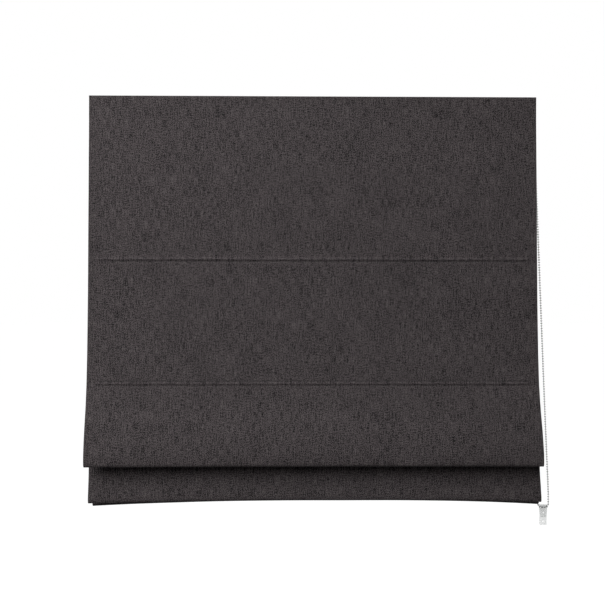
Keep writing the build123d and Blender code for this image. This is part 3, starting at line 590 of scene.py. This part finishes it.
def makeCloth():
    (f1, b1), (f2, b2), (f3, b3), (f4, b4) = [battenPoint(n) for n in (1, 2, 3, 4)]
    frontLoop, secondLoop = b2 + 182 * mm, b3 + 168.6 * mm      # the pleats' lower edges
    upper = [*near(0, (0, 0), (0.1, 1.5), (0.35, 5), (0.05, 9), (0, 20), (0, 60)),
             (0.63 * f1, 0.63 * b1), (f1, b1)]
    middle = [(f1, b1), (f1 + 3 * mm, b1 + 93 * mm), (f1 + 9 * mm, b1 + 204 * mm), (f2, b2)]
    frontFace = [(f2, b2), *near(b2, (36, 53), (50.5, 104)),
                 *near(frontLoop, (60.5, -30), (61.2, -17), (61.1, -9), (59.8, -3.2),
                       (57.2, -0.6), (53, 0))]
    frontBack = [*near(frontLoop, (53, 0), (47.6, -2.5), (43.5, -11), (29.5, -44), (20.5, -74)),
                 (f3, b3)]
    secondFace = [(f3, b3), *near(b3, (16.8, 30), (18, 96), (25, 137)),
                  *near(secondLoop, (29, -10), (27.8, -2), (23.5, 0))]
    secondBack = [*near(secondLoop, (23.5, 0), (18.5, -2.5), (14.5, -12), (9, -41)),
                  *near(b4, (5, 12)), (f4, b4)]
    skirt = [(f4, b4), *near(b4, (1.7, 20), (-3.0, 90), (-3.75, 103), (-4.6, 107.4), (-6.4, 108.7),
                             (-8.2, 107.2), (-8.9, 103), (-8.3, 90), (-7.4, 72), (-5.6, 54))]
    first, second = cloth["ridges"]
    # name, points, sideways, corner fall, waviness, seams at its start (0) or end (1), node
    plan = [
        ("cloth_upper", upper, (0, 0), (0, 0), 1.0, [(1, first)], "cloth_top_panel"),
        ("cloth_middle", middle, (0, 0), (0, 0), 1.0, [(0, first), (1, second)],
         "cloth_second_panel"),
        ("cloth_front_pleat_face", frontFace, (0, 0.8), (0, 1), 1.0, [(0, second)],
         "cloth_front_fold"),
        ("cloth_front_pleat_back", frontBack, (0.8, 3), (1, 0), 0.6, [], "cloth_front_fold"),
        ("cloth_second_pleat_face", secondFace, (3, 4.5), (0, 6.5), 1.0, [], "cloth_second_fold"),
        ("cloth_second_pleat_back", secondBack, (4.5, 6), (6.5, 0), 0.6, [], "cloth_second_fold"),
        ("cloth_bottom", skirt, (6, 8.8), (0, 17.6), 0.3, [], "cloth_skirt"),
    ]
    made, above = {}, 0.0
    for name, points, slide, fall, wave, lifts, node in plan:
        calm = cloth["calm"] if name == "cloth_upper" else 0.0
        slide, fall = [v * mm for v in slide], [v * mm for v in fall]
        sheet, length = clothStretch(name, points, above, slide, fall, wave, calm, lifts)
        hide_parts(node)
        made[name] = sheet
        above += length
        print(f"{name}: {length / mm:.0f} mm")
    z1, z2, z3, z4 = (clothTop - b for b in (b1, b2, b3, b4))
    zFront, zSecond = clothTop - frontLoop, clothTop - secondLoop
    bends = [   # name, the bodies above and below, and the heights where it would follow only that one; each stretch is only baked in place here, not bound to them
        ("cloth_upper", "frame", "batten_1", clothTop - cloth["held"], z1),
        ("cloth_middle", "batten_1", "batten_2", z1, z2),
        ("cloth_front_pleat_face", "batten_2", "batten_3", z2, 2 * zFront - z2),
        ("cloth_front_pleat_back", "batten_2", "batten_3", 2 * zFront - z3, z3),
        ("cloth_second_pleat_face", "batten_3", "batten_4", z3, 2 * zSecond - z3),
        ("cloth_second_pleat_back", "batten_3", "batten_4", 2 * zSecond - z4, z4),
    ]
    for name, upperBody, lowerBody, start, end in bends:
        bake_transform(made[name])
    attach(made["cloth_bottom"], "batten_4")


makeCloth()
print("cloth done")


# Batten pockets: a twill tape sewn to the back of the cloth, with a tunnel for the rod
pocket = {
    "flange": 10.5 * mm,
    "thickness": 0.35 * mm,
    "spacing": 0.9 * mm,    # between its rows
    "columns": 110,
    "tuck": 0.12 * mm,      # how uneven its edges are
    "profile": [    # (behind the rod's middle, above it), in mm
        (-3.4, 10.5), (-3.4, 6.6), (-3.0, 5.0), (-0.8, 3.7), (1.5, 2.7), (2.55, 1.0),
        (2.55, -1.0), (1.5, -2.7), (-0.8, -3.7), (-3.0, -5.0), (-3.4, -6.6), (-3.4, -10.5),
    ],
}


def makePocket(n):
    y, z = rodPlace(n)
    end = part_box(f"batten_pocket_{n}")[1].x
    line, length = smoothLine([Vector(p) * mm for p in pocket["profile"]], pocket["spacing"])
    count = pocket["columns"]
    vertices, faces, places = [], [], []
    for point, along in line:
        for k in range(count + 1):
            x = -end + 2 * end * k / count
            tuck = pocket["tuck"] * math.sin(k * 2.3) * (abs(point.y) / pocket["flange"])
            vertices.append((x, y + point.x, z + point.y + tuck))
            places.append((x, along))
    for row in range(len(line) - 1):
        for k in range(count):
            a = row * (count + 1) + k
            faces.append((a, a + 1, a + count + 2, a + count + 1))
    tape = meshObject(f"rod_pocket_{n}", vertices, faces, pocketTape)
    layer = tape.data.uv_layers.new(name="clothUv")
    for loop in tape.data.loops:
        layer.data[loop.index].uv = places[loop.vertex_index]
    solid = tape.modifiers.new("thickness", "SOLIDIFY")
    solid.thickness = pocket["thickness"]
    solid.offset = 0
    applyModifiers(tape)
    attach(tape, f"batten_{n}")
    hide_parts(f"batten_pocket_{n}")


for n in (1, 2, 3, 4):
    makePocket(n)
print("batten pockets done")


# Stitches: one stitch is modelled, and each seam is a row of copies
stitch = {
    "length": 2.9 * mm,
    "pitch": 4.0 * mm,
    "width": 0.55 * mm,
    "tilt": 0.02,           # how much a stitch leans out of its row
    "rowEnd": 490 * mm,     # from the cloth's middle
    "fromRod": 8.5 * mm,    # a pocket's seams, above and below the rod
    "pocketFace": 3.4 * mm,     # a pocket tape's flat edge, in front of the rod's middle
    "proud": 0.25 * mm,
    "groove": 2.0 * mm,     # the face seams, below the rod
    "hemStart": -494 * mm,
    "hemEnd": 510 * mm,
    "hemBehind": 6.05 * mm,     # the hem's back layer, behind the cloth's front
    "hemBelow": 58 * mm,    # just under the hem's turned-up edge, from the last rod
    "hemFall": 17.1 * mm,
}


def makeStitch():           # a short bulging run of thread, its length along Z
    deselectAll()
    bpy.ops.mesh.primitive_uv_sphere_add(segments=6, ring_count=5, radius=stitch["width"] / 2)
    shape = bpy.context.object
    bpy.ops.transform.resize(value=(1, 1, stitch["length"] / stitch["width"]))
    bpy.ops.object.transform_apply(location=False, rotation=False, scale=True)
    return shape


def seamRow(name, body, start, end, y, z, fall=0.0):
    count = round((end - start) / stitch["pitch"])
    along = [start + (end - start) * (k + 0.5) / count for k in range(count)]
    lean = Vector((1, 0, stitch["tilt"]))
    places = [(Vector((x, y, z - fall * cornerFall(x))), lean) for x in along]
    row = copiesOf(makeStitch(), places, name, sewingThread)
    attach(row, body)


for n in (1, 2, 3, 4):
    y, z = rodPlace(n)
    face = y - stitch["pocketFace"] + stitch["proud"]
    for side, above in (("upper", stitch["fromRod"]), ("lower", -stitch["fromRod"])):
        seamRow(f"pocket_seam_{side}_{n}", f"batten_{n}", -stitch["rowEnd"], stitch["rowEnd"],
                face, z + above)
for n in (1, 2):        # where the needle comes through to the cloth's face, in its groove
    y, z = rodPlace(n)
    seamRow(f"face_seam_{n}", f"batten_{n}", -stitch["rowEnd"], stitch["rowEnd"],
            y - rodBehind + stitch["proud"], z - stitch["groove"])
seamRow("hem_seam", "batten_4", stitch["hemStart"], stitch["hemEnd"],
        clothFront + stitch["hemBehind"], rodPlace(4)[1] - stitch["hemBelow"], stitch["hemFall"])
print("stitches done")


# Hook and loop tapes between the rail and the cloth
tapes = {
    "fit": 0.999,           # a hair smaller than its place, so that no two faces lie in one plane
    "edge": 0.3 * mm,
}


def makeTape(node, name, material):
    low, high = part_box(node)
    deselectAll()
    bpy.ops.mesh.primitive_cube_add(size=1, location=(low + high) / 2)
    tape = bpy.context.object
    bpy.ops.transform.resize(value=(high - low) * tapes["fit"])
    bpy.ops.object.transform_apply(location=False, rotation=False, scale=True)
    bpy.ops.object.mode_set(mode="EDIT")
    bpy.ops.mesh.select_all(action="SELECT")
    bpy.ops.mesh.bevel(offset=tapes["edge"], segments=2, affect="EDGES")
    bpy.ops.object.mode_set(mode="OBJECT")
    settle(tape, name, material, "frame")
    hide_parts(node)


makeTape("loop_tape", "loop_pile_strip", loopTape)
makeTape("hook_tape", "hook_pile_strip", hookTape)


# Lift cords, from the spools down through the rings, one stretch between each two rings
lift = {
    "x": (-390 * mm, 0.0, 390 * mm),
    "names": ("left", "middle", "right"),
    "diameter": 1.0 * mm,
    "sides": 8,
    "apart": 0.2 * mm,      # no two rows of points lie closer than this where two stretches meet
    # The middle cord, from its spool to the lowest ring, with points six diameters from each ring
    "route": [
        (0, -0.03196, -0.0022), (0, -0.03977, -0.3560),
        (0, -0.03990, -0.3620), (0, -0.04024, -0.3680), (0, -0.05596, -0.6420),
        (0, -0.05630, -0.6480), (0, -0.05578, -0.6540), (0, -0.04842, -0.7380),
        (0, -0.04790, -0.7440), (0, -0.04680, -0.7499), (0, -0.03600, -0.8075),
        (0, -0.03490, -0.8134),
    ],
    "rings": (0, 2, 5, 8, 11),      # the spool and the rings among those points
}


def makeLiftCords():
    points = pointsOnRoute(lift["route"])
    corners = [Vector(lift["route"][n]) for n in lift["rings"]]
    heights = [corner.z for corner in corners]
    for span in range(4):
        high, low = heights[span], heights[span + 1]
        line = [p for p in points if low + lift["apart"] < p.z < high - lift["apart"]]
        line = [corners[span], *line, corners[span + 1]]
        vertices, faces = [], []
        for x in lift["x"]:
            start = len(vertices)
            for p in line:
                for k in range(lift["sides"]):
                    turn = 2 * math.pi * k / lift["sides"]
                    reach = lift["diameter"] / 2
                    vertices.append((x + reach * math.cos(turn), p.y + reach * math.sin(turn), p.z))
            ring = lift["sides"]
            for row in range(len(line) - 1):
                for k in range(ring):
                    a, b = start + row * ring + k, start + row * ring + (k + 1) % ring
                    faces.append((a, a + ring, b + ring, b))
            last = start + (len(line) - 1) * ring
            faces.append(tuple(start + k for k in range(ring)))
            faces.append(tuple(last + k for k in reversed(range(ring))))
        cords = meshObject(f"lift_cord_span_{span + 1}", vertices, faces, cordPolyester)
        makeActive(cords)
        bpy.ops.object.mode_set(mode="EDIT")
        bpy.ops.mesh.select_all(action="SELECT")
        bpy.ops.mesh.normals_make_consistent(inside=False)
        bpy.ops.object.mode_set(mode="OBJECT")
        for place in lift["names"]:
            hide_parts(f"lift_cord_{place}")
        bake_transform(cords)


makeLiftCords()
print("lift cords done")


# Cord windings: ten turns of cord, side by side on each spool
winding = {
    "radius": 7.96 * mm,
    "turns": 10,
    "steps": 26,
    "flattened": 0.98,      # so that neighbouring turns stay apart
}


def makeWinding(place):
    low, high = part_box(f"cord_winding_{place}")
    middle = (low + high) / 2
    deselectAll()
    bpy.ops.mesh.primitive_circle_add(
        vertices=lift["sides"], radius=lift["diameter"] / 2 * winding["flattened"],
        location=(0, 0, 0), rotation=(math.radians(90), 0, 0))
    coil = bpy.context.object
    bpy.ops.object.transform_apply(location=True, rotation=True, scale=True)
    for vertex in coil.data.vertices:
        vertex.co.x += winding["radius"]
    screw = coil.modifiers.new("turns", "SCREW")
    screw.axis = "Z"
    screw.iterations = winding["turns"]
    screw.screw_offset = (high.x - low.x - lift["diameter"]) / winding["turns"]
    screw.steps = winding["steps"]
    screw.render_steps = winding["steps"]
    applyModifiers(coil)
    for vertex in coil.data.vertices:       # stand the coil's axis along the shaft
        along, across, up = vertex.co.z, vertex.co.x, vertex.co.y
        vertex.co = (low.x + lift["diameter"] / 2 + along, middle.y + across, middle.z + up)
    makeActive(coil)
    bpy.ops.object.mode_set(mode="EDIT")
    bpy.ops.mesh.select_all(action="SELECT")
    bpy.ops.mesh.remove_doubles(threshold=0.01 * mm)
    bpy.ops.mesh.normals_make_consistent(inside=False)
    bpy.ops.object.mode_set(mode="OBJECT")
    settle(coil, f"wound_cord_{place}", cordPolyester, "drive", 80)
    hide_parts(f"cord_winding_{place}")


for place in lift["names"]:
    makeWinding(place)
print("cord windings done")


# The rigid pieces keep their shapes from the model and get their finishes
def giveMaterial(material, *names):
    for name in names:
        slots = nodes[name].data.materials
        slots.clear()
        slots.append(material)


giveMaterial(powderCoat, "headrail")
giveMaterial(housingPlastic, "end_cap", "control_housing", "chain_guard")
giveMaterial(zincSteel, "guard_screws", "bracket_left", "bracket_right", "brake_spring")
giveMaterial(wheelPlastic, "chain_wheel", "bracket_cam_left", "bracket_cam_right",
             "bracket_lever_left", "bracket_lever_right")
giveMaterial(beadResin, "beads_on_wheel", "chain_connector")
giveMaterial(millAluminium, "drive_shaft", "bottom_bar")
giveMaterial(clearPlastic, "tensioner_base", "tensioner_cover")
giveMaterial(ringPlastic, "cord_stoppers", "bottom_bar_caps")
for place in lift["names"]:
    giveMaterial(wheelPlastic, f"cord_spool_{place}", f"spool_cradle_{place}")
for n in (1, 2, 3, 4):
    giveMaterial(fibreglass, f"batten_{n}")
    giveMaterial(ringPlastic, f"batten_caps_{n}", f"ring_guides_{n}")
print("finishes done")


# Floor and light
stage = {
    "floorBelow": 2.1,      # a blind's head is about this high above the floor
    "floorSize": 120,
    "floorGlow": 0.88,      # near the blind, where the shadows show, and white further out
    "glowReach": (1.6, 2.6),
    "ambient": 0.022,
    "lampAim": -0.45,       # the height they all point at
    "lampDistance": 4.2,
    "lampSize": 2.4,
    "keyFrom": (-0.86, -1.0, 0.62),
    "keyLevel": 0.705,      # how bright a white card in the cloth's place is under this lamp alone
    "fillFrom": (0.9, -1.0, 0.25),
    "fillLevel": 0.02,
    "topFrom": (-0.4, -0.55, 1.0),
    "topLevel": 0.26,
    "backFrom": (0.7, 1.0, 0.8),
    "backLevel": 0.75,
}


def seenDirectly(tree):     # 1 for rays from the camera, mirrors and glass
    path = addNode(tree, "ShaderNodeLightPath")
    share = path.outputs["Is Camera Ray"]
    for name in ("Is Glossy Ray", "Is Transmission Ray"):
        larger = addNode(tree, "ShaderNodeMath", {"operation": "MAXIMUM"}, {
            0: share, 1: path.outputs[name]})
        share = larger.outputs[0]
    return share


def makeWorld():
    world = bpy.data.worlds.new("studio")
    bpy.context.scene.world = world
    world.use_nodes = True
    tree = world.node_tree
    tree.nodes.clear()
    level = addNode(tree, "ShaderNodeMapRange", inputs={
        "Value": seenDirectly(tree), "To Min": stage["ambient"], "To Max": 1.0})
    background = addNode(tree, "ShaderNodeBackground", inputs={
        "Color": (1, 1, 1, 1), "Strength": level.outputs[0]})
    addNode(tree, "ShaderNodeOutputWorld", inputs={"Surface": background.outputs[0]})


def makeFloor():
    bpy.ops.mesh.primitive_plane_add(
        size=stage["floorSize"], location=(0, 0, -stage["floorBelow"]))
    floor = bpy.context.object
    floor.name = "floor"
    material = bpy.data.materials.new("paleFloor")
    material.use_nodes = True
    tree = material.node_tree
    tree.nodes.clear()
    place = addNode(tree, "ShaderNodeTexCoord").outputs["Object"]
    far = addNode(tree, "ShaderNodeVectorMath", {"operation": "LENGTH"}, {0: place})
    dim, white = stage["glowReach"]
    glow = addNode(tree, "ShaderNodeMapRange", inputs={
        "Value": far.outputs["Value"], "From Min": dim, "From Max": white,
        "To Min": stage["floorGlow"], "To Max": 1.0})
    level = addNode(tree, "ShaderNodeMath", {"operation": "MULTIPLY"}, {
        0: glow.outputs[0], 1: seenDirectly(tree)})
    matt = addNode(tree, "ShaderNodeBsdfDiffuse", inputs={"Color": linearColour("#646464")})
    light = addNode(tree, "ShaderNodeEmission", inputs={
        "Color": (1, 1, 1, 1), "Strength": level.outputs[0]})
    both = addNode(tree, "ShaderNodeAddShader", inputs={0: matt.outputs[0], 1: light.outputs[0]})
    addNode(tree, "ShaderNodeOutputMaterial", inputs={"Surface": both.outputs[0]})
    floor.data.materials.append(material)


def makeLamp(name, direction, level):
    away = Vector(direction).normalized()
    aim = Vector((0, clothFront, stage["lampAim"]))
    bpy.ops.object.light_add(type="AREA", location=aim + away * stage["lampDistance"])
    lamp = bpy.context.object
    lamp.name = name
    lamp.rotation_euler = away.to_track_quat("Z", "Y").to_euler()
    lamp.data.shape = "SQUARE"
    lamp.data.size = stage["lampSize"]
    lamp.data.energy = level * math.pi ** 2 * stage["lampDistance"] ** 2 / abs(away.y)


makeWorld()
makeFloor()
for role in ("key", "fill", "top", "back"):
    makeLamp(role + "Lamp", stage[role + "From"], stage[role + "Level"])
bpy.context.scene.view_settings.view_transform = "Standard"
print("stage done")
